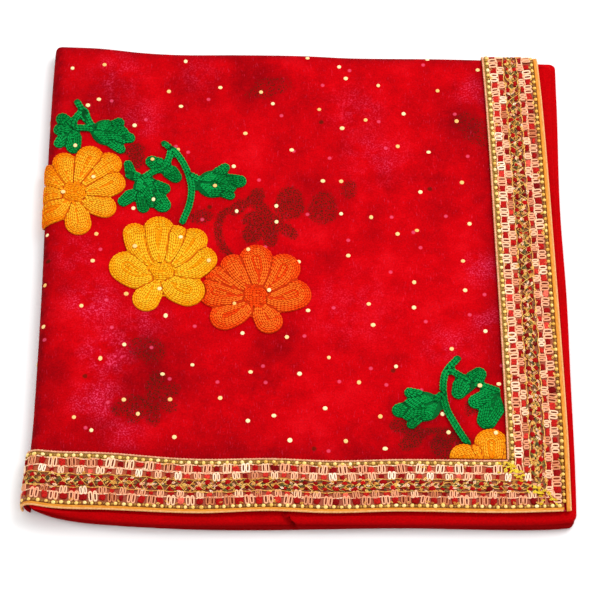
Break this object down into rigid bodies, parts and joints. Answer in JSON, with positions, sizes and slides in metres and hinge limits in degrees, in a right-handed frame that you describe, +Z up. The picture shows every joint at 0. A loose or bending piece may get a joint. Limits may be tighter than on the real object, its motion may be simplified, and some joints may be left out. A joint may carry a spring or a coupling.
{
  "type": "folded net chunri",
  "caption": "Red net chunri stole folded into a flat square packet, with gold lace borders, foil dots and chain-stitched flowers and leaves; rests flat.",
  "frame": {"origin": "middle of the packet's bounding box, on the surface it rests on", "axes": "+Z up; +X to the right along the front lace edge; +Y to the back fold"},
  "size_m": [0.2876, 0.298, 0.014],
  "materials": {
    "red_net": "fine soft net with a slight sheen and foil dots",
    "red_net_folds": "stacked folds of the same net",
    "gold_lace": "metallic gold and cream wire lace with red thread",
    "satin_band": "satin-woven gold band and cord",
    "mango_thread": "chain-stitched rayon thread",
    "yellow_thread": "chain-stitched rayon thread",
    "orange_thread": "chain-stitched rayon thread",
    "leaf_thread": "chain-stitched rayon thread"
  },
  "bodies": {
    "root": {"net_top": "red_net", "folded_layers": "red_net_folds", "lace_front": "gold_lace", "lace_right": "gold_lace", "edge_band_front": "satin_band", "edge_band_right": "satin_band", "flower_left": "mango_thread", "flower_yellow": "yellow_thread", "flower_orange": "orange_thread", "flower_corner": "yellow_thread", "sprig_left": "leaf_thread", "sprig_middle": "leaf_thread", "sprig_right": "leaf_thread"}
  },
  "joints": []
}
